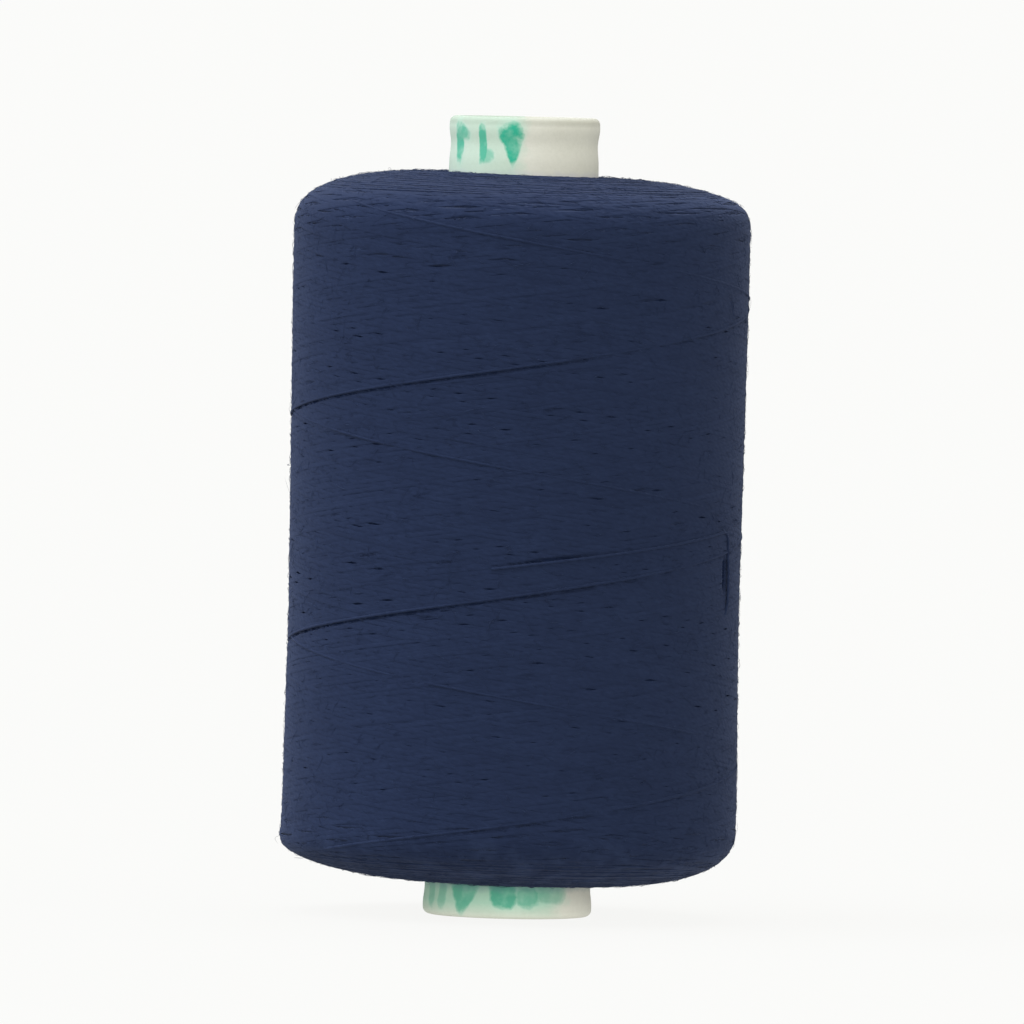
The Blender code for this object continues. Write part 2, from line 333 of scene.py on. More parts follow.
def lean_ends(points):
    """Tilts both ends of the package a little and fills out two shoulders, in
    place; the side stays where it is."""
    weight = np.clip((points[..., 2] - TOP_LEAN_FROM) / (PACKAGE_TOP - TOP_LEAN_FROM), 0, 1)
    low = np.clip((FOOT_LEAN_BELOW - points[..., 2]) / (FOOT_LEAN_BELOW - PACKAGE_BOTTOM), 0, 1)
    reach = np.hypot(points[..., 0], points[..., 1])
    swell = 1.0
    for hand, (amount, height, width) in ((1, TOP_SHOULDER), (-1, FOOT_SHOULDER)):
        facing = np.clip(hand * points[..., 0] / reach, 0, 1) ** 2
        swell = swell + amount * facing * np.exp(-((points[..., 2] - height) / width) ** 2)
    points[..., 2] -= TOP_LEAN * points[..., 0] * weight * weight * (3 - 2 * weight)
    points[..., 2] -= FOOT_LEAN * points[..., 0] * low * low * (3 - 2 * low)
    points[..., :2] *= swell[..., None]
    return points


def on_package(columns, along, lift):
    """Points and outward normals at a lift above the package's surface."""

    def place(column, distance):
        angle = FULL_TURN * np.asarray(column) / COLUMNS
        radius = at_meridian(MERIDIAN.radius, distance) + at_meridian(MERIDIAN.out, distance) * lift
        height = at_meridian(MERIDIAN.height, distance) + at_meridian(MERIDIAN.up, distance) * lift
        return lean_ends(np.stack([radius * np.sin(angle), -radius * np.cos(angle), height], axis=1))

    inside = np.clip(along, MERIDIAN_STEP, OUTLINE_LENGTH - MERIDIAN_STEP)
    round_it = place(columns + 0.5, inside) - place(columns - 0.5, inside)
    upward = place(columns, inside + MERIDIAN_STEP) - place(columns, inside - MERIDIAN_STEP)
    return place(columns, along), unit(np.cross(round_it, upward))


def revolve(name, outline, segments, ripple=None, leaning=False):
    """A closed solid of revolution from a closed outline of (radius, height)
    that runs down its outer side. ripple(angle, height) is added to the radius,
    and a leaning one follows the package's tilted ends."""
    outline = np.array(outline)
    angle = np.arange(segments) * FULL_TURN / segments
    radius = np.broadcast_to(outline[:, 0], (segments, len(outline)))
    height = np.broadcast_to(outline[:, 1], (segments, len(outline)))
    if ripple is not None:
        radius = radius + ripple(angle[:, None], height)
    x = radius * np.sin(angle)[:, None]
    y = -radius * np.cos(angle)[:, None]
    points = np.stack([x, y, height], axis=2).reshape(-1, 3)
    if leaning:
        points = lean_ends(points)
    index = np.arange(segments * len(outline)).reshape(segments, -1)
    right = np.roll(index, -1, 0)
    quads = np.stack([index, np.roll(index, -1, 1), np.roll(right, -1, 1), right], axis=2)
    return make_mesh(name, points, quads.reshape(-1, 4))


# ---- furrows and nicks


def end_route():
    """The thread's outer end: up beside the last traverse, round a small bend and
    down. Arc from the front and height, both in millimetres."""
    run = SIDE_RADIUS * (END_TURN_ANGLE - END_START_ANGLE)
    out = np.arange(0, run, END_STEP)
    flat = np.stack([out, out * math.tan(END_RISE_ANGLE)], axis=1)
    turn = flat[-1]
    centre = turn + END_BEND_RADIUS * np.array([math.sin(END_RISE_ANGLE), -math.cos(END_RISE_ANGLE)])
    t = np.linspace(math.pi / 2 + END_RISE_ANGLE, 0, 12)[1:]
    bend = centre + END_BEND_RADIUS * np.stack([np.cos(t), np.sin(t)], axis=1)
    drop = END_START_HEIGHT + bend[-1][1] - END_TIP_HEIGHT
    down = np.arange(END_STEP, drop, END_STEP)
    hang = bend[-1] - np.stack([np.zeros(len(down)), down], axis=1)
    hang[:, 0] += END_SWAY * np.sin(down / END_SWAY_LENGTH)
    flat = np.concatenate([flat, bend, hang])
    return flat + [END_START_ANGLE * SIDE_RADIUS, END_START_HEIGHT]


END_ROUTE = end_route()
FALLING_COLUMN = END_ROUTE[-1][0] / COLUMN_WIDTH
FALLING_COLUMNS = 8


def list_nicks(rng):
    """Each nick's half length in columns, middle row and column, slope and depth."""
    nicks = []
    for azimuth, height, half_length in PLAIN_NICKS:
        columns = round(half_length / COLUMN_WIDTH)
        column = round(azimuth / 360 * COLUMNS)
        nicks.append((columns, along_at(height) / ROW, column, PLAIN_NICK_SLOPE, PLAIN_NICK_DEPTH))
    for _ in range(NICKS):
        slope = rng.choice([-1, 1]) * rng.uniform(*NICK_SLOPES)
        columns = rng.integers(*NICK_LENGTHS)
        row = rng.uniform(NICK_MARGIN, MAP_ROWS - NICK_MARGIN)
        column = rng.integers(0, COLUMNS)
        nicks.append((columns, row, column, slope, rng.uniform(*NICK_DEPTHS)))
    return nicks


def make_nick_map():
    """How deep the nicks are, laid out as the surface map is."""
    depth = np.zeros((MAP_ROWS, COLUMNS))
    across = np.arange(-NICK_ROWS, NICK_ROWS + 1)
    for half_length, middle, start, slope, deep in list_nicks(np.random.default_rng(17)):
        for step in range(-half_length, half_length + 1):
            rows = int(middle + slope * step) + across
            share = 1 - (step / (half_length + 1)) ** 2
            profile = deep * share * np.exp(-(across / NICK_HALF_WIDTH) ** 2)
            column = (start + step) % COLUMNS
            depth[rows, column] = np.maximum(depth[rows, column], profile)
    return depth


NICK_MAP = make_nick_map()


def beside(points, route):
    """For each point how far it is to a route's left, how far it is from the route
    and how far along the route that is, as a share."""
    heading = unit(np.diff(route, axis=0))
    heading = np.concatenate([heading, heading[-1:]])
    gap = points[:, None] - route
    nearest = np.argmin((gap ** 2).sum(axis=2), axis=1)
    rest = gap[np.arange(len(points)), nearest]
    ahead = heading[nearest]
    side = ahead[:, 0] * rest[:, 1] - ahead[:, 1] * rest[:, 0]
    return side, np.linalg.norm(rest, axis=1), nearest / len(route)


def pass_furrows(angle, height):
    """How deep the furrows beside the last two traverses are."""
    depth = np.zeros(len(height))
    azimuth = np.degrees(angle + math.pi) % 360 - 180
    for at_front, direction, _, (deep, half_width, offset) in (UP_PASS, DOWN_PASS):
        off = height - at_front - offset - direction * PITCH * angle / FULL_TURN
        off = (off + PITCH / 2) % PITCH - PITCH / 2
        uneven = np.interp(azimuth, FURROW_AZIMUTHS, FURROW_SHARES)
        for amount, waves, climb in FURROW_RIPPLES:
            uneven = uneven + amount * np.sin(waves * angle + climb * height)
        rising = np.clip((height - FURROW_FROM) / (FURROW_FULL - FURROW_FROM), 0, 1)
        uneven = np.maximum(uneven, 0) * rising
        depth = np.maximum(depth, deep * uneven * np.exp(-(off / half_width) ** 2))
    above = np.clip((height - PASS_BOTTOM - FURROW_STOP) / FURROW_FADE, 0, 1)
    below = np.clip((PASS_TOP - FURROW_STOP - height) / FURROW_FADE, 0, 1)
    return depth * (above * below)


def end_furrows(angle, height):
    """How deep the furrow under the thread's end is, and the gap beside its fall."""
    depth = np.zeros(len(height))
    arc = ((angle + math.pi) % FULL_TURN - math.pi) * SIDE_RADIUS
    (middle_arc, half_arc), (middle_height, half_height) = END_AREA
    near = (np.abs(arc - middle_arc) < half_arc) & (np.abs(height - middle_height) < half_height)
    if near.any():
        side, distance, share = beside(np.stack([arc[near], height[near]], axis=1), END_ROUTE)
        deepest = np.exp(-((share - END_DEEPEST_AT) / END_DEEPEST_REACH) ** 2)
        deepest = END_SHALLOW + (1 - END_SHALLOW) * deepest
        deep, half_width, offset = END_FURROW
        furrow = deep * deepest * np.exp(-((side - offset) / half_width) ** 2) * (share < FALLS_FROM)
        falling = np.clip((share - FALLS_FROM) / FALL_OPENS, 0, 1)
        falling = falling * np.clip((FALLS_TO - share) / FALL_CLOSES, 0, 1)
        deep, half_width, offset = FALLING_FURROW
        gap = deep * falling * np.exp(-((side + offset) / half_width) ** 2)
        depth[near] = np.maximum(furrow, gap) * (distance <= np.abs(side) + END_TIP_REACH)
    return depth


def press(columns, along):
    """How far the winding is pushed in, by the last passes, their end and nicks."""
    angle = FULL_TURN * np.asarray(columns) / COLUMNS
    height = at_meridian(MERIDIAN.height, along)
    row = np.clip(np.rint(along / ROW).astype(int), 0, MAP_ROWS - 1)
    nicks = NICK_MAP[row, np.rint(columns).astype(int) % COLUMNS]
    return np.maximum(np.maximum(pass_furrows(angle, height), nicks), end_furrows(angle, height))


# ---- laying the thread


class SurfaceMap:
    """How high the thread already stands above the package's outline."""

    def __init__(self, base):
        self.top = np.repeat(base[:, None], COLUMNS, axis=1)

    def lay(self, columns, along, radius, dive=0.0, packing=PACKING):
        """Rests one stretch of thread on what is there and returns its centre line's
        lift. dive is how far it is pulled under, and packing how much of its
        thickness is left where threads press on each other."""
        reach = int(radius / ROW)
        offsets = np.arange(-reach, reach + 1)
        section = packing * np.sqrt(radius ** 2 - (offsets * ROW) ** 2)
        row = np.clip(np.rint(along / ROW).astype(int), reach, len(self.top) - reach - 1)
        rows = row + offsets[:, None]
        cells = (rows, np.broadcast_to(columns % COLUMNS, rows.shape))
        bearing = np.abs(offsets) <= BEARING * reach
        resting = (self.top[cells] + section[:, None])[bearing].max(axis=0)
        window = np.hanning(TAUT_COLUMNS)
        padded = np.pad(resting, TAUT_COLUMNS // 2, mode="edge")
        taut = np.convolve(padded, window / window.sum(), mode="valid")
        lift = taut - dive
        self.top[cells] = np.maximum(self.top[cells], lift + section[:, None])
        return lift


def wander(count, step, size, rng):
    """A slow random drift, one value a column."""
    knots = rng.normal(0, size, count // step + 3)
    return np.interp(np.arange(count) / step, np.arange(len(knots)), knots)


def traverse(start_column, start, end, rng):
    """One pass from one turning point to the other: columns and distances."""
    half_count = int(round((abs(end - start) / TRAVERSE_PITCH * COLUMNS + 2 * BEND) / 2))
    steps = np.arange(2 * half_count + 1)

    def softened(d):
        return np.sqrt(d ** 2 + BEND ** 2) - BEND

    slope = (end - start) / (2 * softened(half_count))
    near = start + slope * softened(steps)
    far = end - slope * softened(2 * half_count - steps)
    along = np.where(steps < half_count, near, far)
    fade = np.sin(math.pi * steps / steps[-1])
    return start_column + steps, along + fade * wander(len(steps), DRIFT_STEP, DRIFT_SIZE, rng)


def turning_points(count, rng):
    """Distances from the package's ends at which the thread turns back, so that
    passes of either hand cross the middle at evenly spread angles."""
    middle = OUTLINE_LENGTH / 2
    bent = 2 * BEND / COLUMNS
    crossing = 0.0
    points = []
    for number in range(count):
        share = GOLDEN if number % 2 else SILVER
        hand_share = share * (number // 2) + rng.normal(0, SHARE_SCATTER)
        furthest = 2 * (middle - TURN_BACK_NEAR) / TRAVERSE_PITCH + bent
        turns = furthest - (crossing + furthest - hand_share) % 1.0
        points.append(middle - (turns - bent) * TRAVERSE_PITCH / 2)
        crossing += turns
    return points


def wind_layers(surface):
    """The package's outer passes: one continuous thread, cut into four pieces."""
    rng = np.random.default_rng(11)
    column = 0
    turn_backs = turning_points(len(LAYER_NAMES) * PASSES_PER_LAYER + 1, rng)
    here = turn_backs[0]
    stretches = []
    for number, turn_back in enumerate(turn_backs[1:]):
        there = turn_back if number % 2 else OUTLINE_LENGTH - turn_back
        columns, along = traverse(column, here, there, rng)
        lift = surface.lay(columns, along, STRAND_RADIUS)
        lift = lift + wander(len(columns), UNEVEN_STEP, UNEVEN, rng)
        stretches.append((columns, along, lift))
        column = columns[-1]
        here = there
    return [stretches[i:i + PASSES_PER_LAYER] for i in range(0, len(stretches), PASSES_PER_LAYER)]


def wind_end_face(surface, at_top):
    """Short stretches where deeper passes turned back, on an end face and over
    its shoulder."""
    rng = np.random.default_rng(21 if at_top else 22)
    stretches = []
    for position in rng.permutation(np.arange(END_FIRST, TURN_BACK_FAR, END_SPACING)):
        start = rng.uniform(0, 1)
        done = 0.0
        while done < 1.0:
            turn = rng.uniform(*END_LENGTHS)
            count = int(turn * COLUMNS)
            steps = np.arange(count + 1)
            across = np.abs(steps / count - 0.5) * 2
            columns = int((start + done) * COLUMNS) + steps
            bow = END_BOW * rng.normal(1.0, 0.4) * across ** 2
            along = position + rng.normal(0, END_SCATTER) + bow
            distance = OUTLINE_LENGTH - along if at_top else along
            dive = END_DIVE * np.clip((across - 0.75) / 0.25, 0, 1) ** 2
            lift = surface.lay(columns, distance, STRAND_RADIUS, dive, END_PACKING)
            stretches.append((columns, distance, lift))
            done += turn * rng.uniform(*END_OVERLAPS)
    return stretches


def wind_over(base):
    """Winds everything over a base: the map, both end faces and the layers."""
    surface = SurfaceMap(base)
    ends = [wind_end_face(surface, True), wind_end_face(surface, False)]
    return surface, ends, wind_layers(surface)


def wind_package():
    """Winds once to learn how much the thread builds up at each row, and again
    over a base lowered by that much."""
    first_map = wind_over(np.zeros(MAP_ROWS))[0]
    base = -smooth(first_map.top.mean(axis=1), 60)
    return (base, *wind_over(base))


# ---- strands


def end_caps(first_ring, last_ring):
    """Quads that close both ends of a strand with an even number of sides."""
    sides = len(first_ring)
    quads = []
    for a in range(sides // 2 - 1):
        b, c, d = a + 1, sides - 2 - a, sides - 1 - a
        quads.append([first_ring[a], first_ring[b], first_ring[c], first_ring[d]])
        quads.append([last_ring[d], last_ring[c], last_ring[b], last_ring[a]])
    return np.array(quads)


def pick_sections(columns, along, step):
    """Where a strand gets a section: one column in every step, and more where it
    crosses a furrow or a nick."""
    number = np.arange(len(columns))
    kept = number % step == 0
    if step > 1:
        shifts = (-PRESS_REACH, 0.0, PRESS_REACH)
        close = np.max([press(columns, along + shift) for shift in shifts], axis=0) > PRESS_SEEN
        falling = np.abs(columns % COLUMNS - FALLING_COLUMN) < FALLING_COLUMNS
        kept |= close & (falling | (number % 2 == 0))
    kept[-1] = True
    return np.flatnonzero(kept)


def band_quads(rings):
    """Quads between neighbouring rings of point numbers."""
    a, b = rings[..., :-1, :], rings[..., 1:, :]
    return np.stack([a, b, np.roll(b, -1, -1), np.roll(a, -1, -1)], axis=-1).reshape(-1, 4)


def tube_quads(first, run, sides):
    """Quads of a closed strand whose points start at first, and their uvs, with
    the running length as u."""
    index = first + np.arange(len(run) * sides).reshape(-1, sides)
    v = np.arange(sides) / sides
    u0, u1, v0, v1 = np.broadcast_arrays(run[:-1, None], run[1:, None], v, v + 1 / sides)
    uv = np.stack([u0, v0, u1, v0, u1, v1, u0, v1], axis=2).reshape(-1, 2)
    caps = end_caps(index[0], index[-1])
    return np.concatenate([band_quads(index), caps]), np.concatenate([uv, np.zeros((len(caps) * 4, 2))])


def tube(stretches, sides, step, radius, tone_of, flat=STRAND_FLAT, plies=0.0, pressed=False):
    """Points, quads, uvs, tones and normals of closed strands, one for each stretch
    of (columns, along, lift). plies is how deep the groove between plies is, and
    pressed ones give way under the furrows."""
    parts = []
    first = 0
    around = np.arange(sides) * FULL_TURN / sides
    for number, (columns, along, lift) in enumerate(stretches):
        pick = pick_sections(columns, along, step)
        centre, normal = on_package(columns[pick], along[pick], lift[pick])
        tangent = unit(np.gradient(centre, axis=0))
        side = unit(np.cross(normal, tangent))
        up = np.cross(tangent, side)
        run = np.append(0, np.cumsum(np.linalg.norm(np.diff(centre, axis=0), axis=1)))
        size = np.ones(len(pick))
        size[[0, -1]] = 0.35
        twist = FULL_TURN * run / PLY_LAY
        lobes = 1 - plies * (0.5 - 0.5 * np.cos(2 * (around + twist[:, None] / 2)))
        across = radius * size[:, None, None] * lobes[:, :, None]
        cos, sin = np.cos(around)[:, None], np.sin(around)[:, None]
        ring = centre[:, None] + across * (flat * cos * up[:, None] + sin * side[:, None])
        outward = unit(cos * up[:, None] + flat * sin * side[:, None])
        tones = np.repeat(tone_of(number, run), sides).reshape(-1, sides)
        if pressed:
            uphill = np.sign(side[len(side) // 2, 2]) * np.sin(around)
            place = along[pick][:, None] + across[:, :, 0] * uphill
            turn = np.broadcast_to(columns[pick][:, None], place.shape)
            depth = press(turn.ravel(), place.ravel()).reshape(place.shape)
            ring = ring - depth[:, :, None] * normal[:, None]
            # Painted shade: the deeper a strand is pressed into a furrow or nick, the darker its tone.
            tones = tones - PAINTED_SHADE_IN_FURROW * depth
            outward = outward * (depth < LEVEL)[:, :, None]
        quads, uv = tube_quads(first, run, sides)
        parts.append((ring.reshape(-1, 3), quads, uv, tones.ravel(), outward.reshape(-1, 3)))
        first += len(pick) * sides
    return [np.concatenate(kind) for kind in zip(*parts)]


def make_strands(name, stretches, sides, step, seed, material):
    """The mesh of one group of stretches, each a little lighter or darker."""
    rng = np.random.default_rng(seed)
    shade = rng.normal(0, 1, len(stretches))
    drift = rng.uniform(0, 100, len(stretches))

    def tones(number, run):
        return shade[number] + 0.6 * np.sin(run / 7.0 + drift[number])

    parts = tube(stretches, sides, step, STRAND_RADIUS, tones, pressed=True)
    return finish_piece(make_mesh(name, *parts), material, "thread", "thread_winding")


def rings(node):
    """The heights of a turned CAD node's rings with their least radius, in
    millimetres, lowest first."""
    found = {}
    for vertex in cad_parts[node].data.vertices:
        height = round(vertex.co.z / MM, 3)
        radius = math.hypot(vertex.co.x, vertex.co.y) / MM
        found[height] = min(found.get(height, radius), radius)
    return sorted(found.items())


def make_core(base, material):
    """The wound body, with the CAD's own pocket for the tube."""
    depth = CORE_DEPTH - np.interp(MERIDIAN.along, np.arange(len(base)) * ROW, base)
    pick = np.arange(0, len(depth), CORE_STEP)[::-1]
    radius = MERIDIAN.radius - MERIDIAN.out * depth
    height = MERIDIAN.height - MERIDIAN.up * depth
    outer = list(zip(radius[pick], height[pick]))
    inner = rings("thread_winding")
    (bottom_height, bottom_radius), (top_height, top_radius) = inner[0], inner[-1]
    pocket = [(low + POCKET_CLEARANCE, level) for level, low in inner if low < bottom_radius + 1.0]
    outer[0] = (top_radius, top_height - 2 * CORE_DEPTH)
    outer[-1] = (bottom_radius, bottom_height + 2 * CORE_DEPTH)
    core = revolve("winding_core", outer + pocket[1:-1], CORE_SEGMENTS, leaning=True)
    return finish_piece(core, material, "thread", "thread_winding")


def make_plied(name, columns, along, lift, tones, node, material):
    """A single thread whose two plies show."""
    parts = tube([(columns, along, lift)], 12, 1, PASS_RADIUS, tones, PASS_FLAT, PASS_PLIES)
    return finish_piece(make_mesh(name, *parts), material, "thread", node)


def make_pass(surface, name, node, route, rng, material):
    """One of the last two traverses, lying in the furrow it has pressed."""
    at_front, direction, depth, _ = route
    ends = sorted(direction * (h - at_front) / PITCH * COLUMNS for h in (PASS_BOTTOM, PASS_TOP))
    columns = np.arange(math.ceil(ends[0]), math.floor(ends[1]) + 1)
    along = along_at(at_front + direction * PITCH * columns / COLUMNS)
    wave = np.clip(wander(len(columns), PASS_WAVE_STEP, 1.0, rng), -0.8, 1.2)
    to_end = np.minimum(columns - columns[0], columns[-1] - columns)
    dive = depth + PASS_WAVE * wave
    dive += PASS_END_DIVE * np.clip(1 - to_end / PASS_END_COLUMNS, 0, 1) ** 2
    lift = surface.lay(columns, along, PASS_RADIUS, dive, packing=1.0)

    # Painted highlight: the last passes are drawn lighter than the winding, in waves along them, for
    # the light they catch.
    def tones(number, run):
        return 0.8 + 0.5 * np.sin(run / 3.1 + at_front)

    return make_plied(name, columns, along, lift, tones, node, material)


def make_thread_end(surface, material):
    """The outer end, lying beside the last traverse and tucked under it."""
    columns = END_ROUTE[:, 0] / SIDE_RADIUS / FULL_TURN * COLUMNS
    along = along_at(END_ROUTE[:, 1])
    lift = surface.lay(np.rint(columns).astype(int), along, PASS_RADIUS, END_DEPTH, packing=0.9)
    lift = np.maximum(lift, smooth(lift.copy(), 30))
    share = np.arange(len(lift)) / len(lift)
    falling = np.clip((share - 0.84) / 0.04, 0, 1)
    tucked = np.clip((share - 0.96) / 0.04, 0, 1)
    lift = lift + 0.07 * falling - 0.20 * tucked

    # Painted highlight: the end is drawn lighter, and much lighter where it falls.
    def tones(number, run):
        return 1.2 + 3.0 * falling

    return make_plied("tucked_end", columns, along, lift, tones, "thread_end", material)


def make_fibres(surface, kind, material):
    """Fibre ends and loops of the spun thread. Standing ones rise with their length,
    and the palest are the stoutest."""
    rng = np.random.default_rng(kind.seed)
    count = kind.count
    columns = rng.uniform(0, COLUMNS, count)
    along = rng.uniform(0.4, OUTLINE_LENGTH - 0.4, count)
    on_top = surface.top[(along / ROW).astype(int), columns.astype(int) % COLUMNS]
    start, normal = on_package(columns, along, on_top - 0.01 - press(columns, along))
    side = np.cross(normal, [0.0, 0.0, 1.0])
    side /= np.maximum(np.linalg.norm(side, axis=1), 1e-6)[:, None]
    other = np.cross(normal, side)
    heading = rng.normal(0, kind.spread, count)
    direction = np.cos(heading)[:, None] * side + np.sin(heading)[:, None] * other
    sideways = np.cross(normal, direction)
    bend = rng.normal(0, 0.9, (count, 1)) * sideways
    length = kind.shortest + rng.gamma(2.0, kind.growth, count)
    rise = rng.uniform(*kind.rise, count)
    if kind is STANDING:
        rise = rise * np.minimum(length, FULL_RISE_LENGTH)
    t = np.linspace(0, 1, kind.points)
    looped = rng.uniform(size=count)[:, None] < kind.looped
    arch = np.where(looped, np.sin(math.pi * t), t ** 0.8)
    centre = (start[:, None] + length[:, None, None] * t[:, None] * direction[:, None]
              + 0.5 * length[:, None, None] * (t ** 2)[:, None] * bend[:, None]
              + (rise[:, None] * arch)[:, :, None] * normal[:, None])
    taper = np.interp(t, (0.0, 0.2, 0.7, 1.0), (0.7, 1.0, 0.9, 0.1))
    pale = rng.exponential(2.2, count)
    stout = np.interp(pale, (4.0, 8.0), (1.0, 1.9))
    thickness = (rng.uniform(*FIBRE_RADII, count) * stout)[:, None] * taper
    around = np.arange(FIBRE_SIDES) * FULL_TURN / FIBRE_SIDES
    offset = (np.cos(around)[:, None] * normal[:, None, None]
              + np.sin(around)[:, None] * sideways[:, None, None])
    ring = centre[:, :, None] + thickness[:, :, None, None] * offset
    quads = band_quads(np.arange(ring.size // 3).reshape(ring.shape[:3]))
    tone = np.repeat(pale * stout, kind.points * FIBRE_SIDES)
    obj = make_mesh(kind.name, ring.reshape(-1, 3), quads, None, tone)
    return finish_piece(obj, material, "thread", "thread_winding")


# ---- material helpers


def new_material(name):
    material = bpy.data.materials.new(name)
    material.use_nodes = True
    tree = material.node_tree
    return material, tree, tree.nodes["Principled BSDF"]


def math_node(tree, operation, *values, clamp=False):
    node = tree.nodes.new("ShaderNodeMath")
    node.operation = operation
    node.use_clamp = clamp
    for socket, value in zip(node.inputs, values):
        if isinstance(value, (int, float)):
            socket.default_value = value
        else:
            tree.links.new(value, socket)
    return node.outputs[0]


def times(tree, first, second):
    return math_node(tree, "MULTIPLY", first, second)


def times_plus(tree, first, second, third, clamp=False):
    return math_node(tree, "MULTIPLY_ADD", first, second, third, clamp=clamp)


def set_sockets(node, values):
    for name, value in values.items():
        node.inputs[name].default_value = value


def dress(tree, shader, colour, normal, sockets):
    tree.links.new(colour, shader.inputs["Base Color"])
    tree.links.new(normal, shader.inputs["Normal"])
    set_sockets(shader, sockets)


def noise(tree, vector, scale, detail, roughness):
    node = tree.nodes.new("ShaderNodeTexNoise")
    set_sockets(node, {"Scale": scale, "Detail": detail, "Roughness": roughness})
    tree.links.new(vector, node.inputs["Vector"])
    return node.outputs["Fac"]


def ramp(tree, factor, *stops):
    node = tree.nodes.new("ShaderNodeValToRGB")
    elements = node.color_ramp.elements
    while len(elements) < len(stops):
        elements.new(0.5)
    for element, (position, colour) in zip(elements, stops):
        element.position = position
        element.color = (*colour, 1.0)
    tree.links.new(factor, node.inputs["Fac"])
    return node.outputs["Color"]


def mix(tree, factor, first, second, blend="MIX"):
    """Mixes two colours: the node's sockets 6 and 7 in, and 2 out."""
    node = tree.nodes.new("ShaderNodeMix")
    node.data_type = "RGBA"
    node.blend_type = blend
    for socket, value in ((node.inputs[0], factor), (node.inputs[6], first), (node.inputs[7], second)):
        if isinstance(value, tuple):
            socket.default_value = (*value, 1.0)
        else:
            tree.links.new(value, socket)
    return node.outputs[2]


def bump(tree, height, strength, distance, normal=None):
    node = tree.nodes.new("ShaderNodeBump")
    set_sockets(node, {"Strength": strength, "Distance": distance})
    tree.links.new(height, node.inputs["Height"])
    if normal is not None:
        tree.links.new(normal, node.inputs["Normal"])
    return node.outputs["Normal"]


def coordinates(tree):
    return tree.nodes.new("ShaderNodeTexCoord").outputs["Object"]


def split(tree, vector):
    node = tree.nodes.new("ShaderNodeSeparateXYZ")
    tree.links.new(vector, node.inputs["Vector"])
    return node.outputs


# ---- materials

# Navy, from the darkest strands to the palest fibres; a near-black for painted shade in the
# furrows; and a paler navy for painted light from the floor, in patches, near the foot.
NAVY = (
    (0.0, (0.0054, 0.0088, 0.0218)), (0.5, (0.0083, 0.0135, 0.0326)), (1.0, (0.0131, 0.0209, 0.0480)))
NAVY_PAINTED_SHADE = (0.0022, 0.0038, 0.0105)
NAVY_FLOOR_LIT = (0.0190, 0.0285, 0.0600)
NAVY_DEEPER = ((0.0, (0.0055, 0.0092, 0.0235)), (1.0, (0.0095, 0.0155, 0.0380)))
FLOOR_LIT_BELOW, FLOOR_LIT_FADE, FLOOR_LIT_MOST = 7.5, 3.5, 0.50

# Papers: light and dark.
BOARD_PAPER = ((0.40, 0.38, 0.33), (0.28, 0.26, 0.22))
LINER_PAPER = ((0.60, 0.58, 0.50), (0.46, 0.44, 0.37))
COVER_PAPER = ((0.55, 0.547, 0.470), (0.468, 0.465, 0.391))

# The cover: painted shade over its upper part and on its rim, and painted shade, tinted bluish, where
# it meets the winding.
MARKS_RADIUS = 5.85
HALF_WAY = 30.0
UPPER_PAINTED_SHADE = (0.88, 0.877, 0.87)
RIM_PAINTED_SHADE, RIM_ABOVE, RIM_SLOPE = (0.70, 0.70, 0.68), 60.25, 2.2
FOOT_PAINTED_SHADE, FOOT_PAINTED_SHADE_ABOVE, FOOT_PAINTED_SHADE_MOST = (0.11, 0.19, 0.23), 2.35, 0.48
TOP_PAINTED_SHADE, TOP_PAINTED_SHADE_BELOW, TOP_PAINTED_SHADE_MOST = (0.28, 0.28, 0.38), 57.45, 0.40
PAINTED_SHADE_SLOPE = 1.6

# Smudged green marks, in millimetres: arc and height of the middle, half sizes,
# slant, taper towards the foot, corner power, strength.
TOP_MARKS = (
    (-6.15, 58.95, 0.62, 1.55, 0.00, 0.15, 3.0, 0.85),
    (-5.75, 59.75, 0.85, 0.62, 0.10, 0.00, 2.2, 0.80),
    (-3.45, 58.90, 0.36, 1.45, 0.05, 0.00, 4.0, 0.85),
    (-3.05, 58.00, 0.55, 0.55, 0.00, 0.00, 2.2, 0.55),
    (-0.95, 58.95, 1.12, 1.50, 0.05, 0.75, 3.0, 1.00),
    (-1.35, 59.55, 0.62, 0.70, 0.20, 0.00, 2.2, 1.00),
)
FOOT_MARKS = (
    (-6.60, 1.75, 0.45, 1.05, 0.10, 0.00, 2.6, 0.42),
    (-5.20, 1.70, 0.42, 1.05, -0.15, 0.00, 2.6, 0.42),
    (-3.20, 1.75, 1.30, 1.40, -0.15, 0.70, 3.0, 0.72),
    (-0.25, 1.85, 1.00, 1.05, 0.00, 0.20, 3.2, 0.80),
    (1.45, 1.75, 0.85, 0.85, 0.10, 0.10, 2.4, 0.66),
    (3.30, 2.05, 1.25, 0.85, 0.00, 0.10, 2.8, 0.48),
)

# A thin film of ink round the marks: arc of its edge, fade, strength and colour.
TOP_WASH = (-0.1, 1.4, 0.75, (0.70, 0.95, 0.88))
FOOT_WASH = (3.6, 2.4, 1.0, (0.62, 0.97, 0.86))
INK = (0.010, 0.26, 0.155)
HALO = (0.22, 0.52, 0.40)
INK_BLUR, HALO_BLUR, HALO_STRENGTH = 1.0, 3.0, 0.40


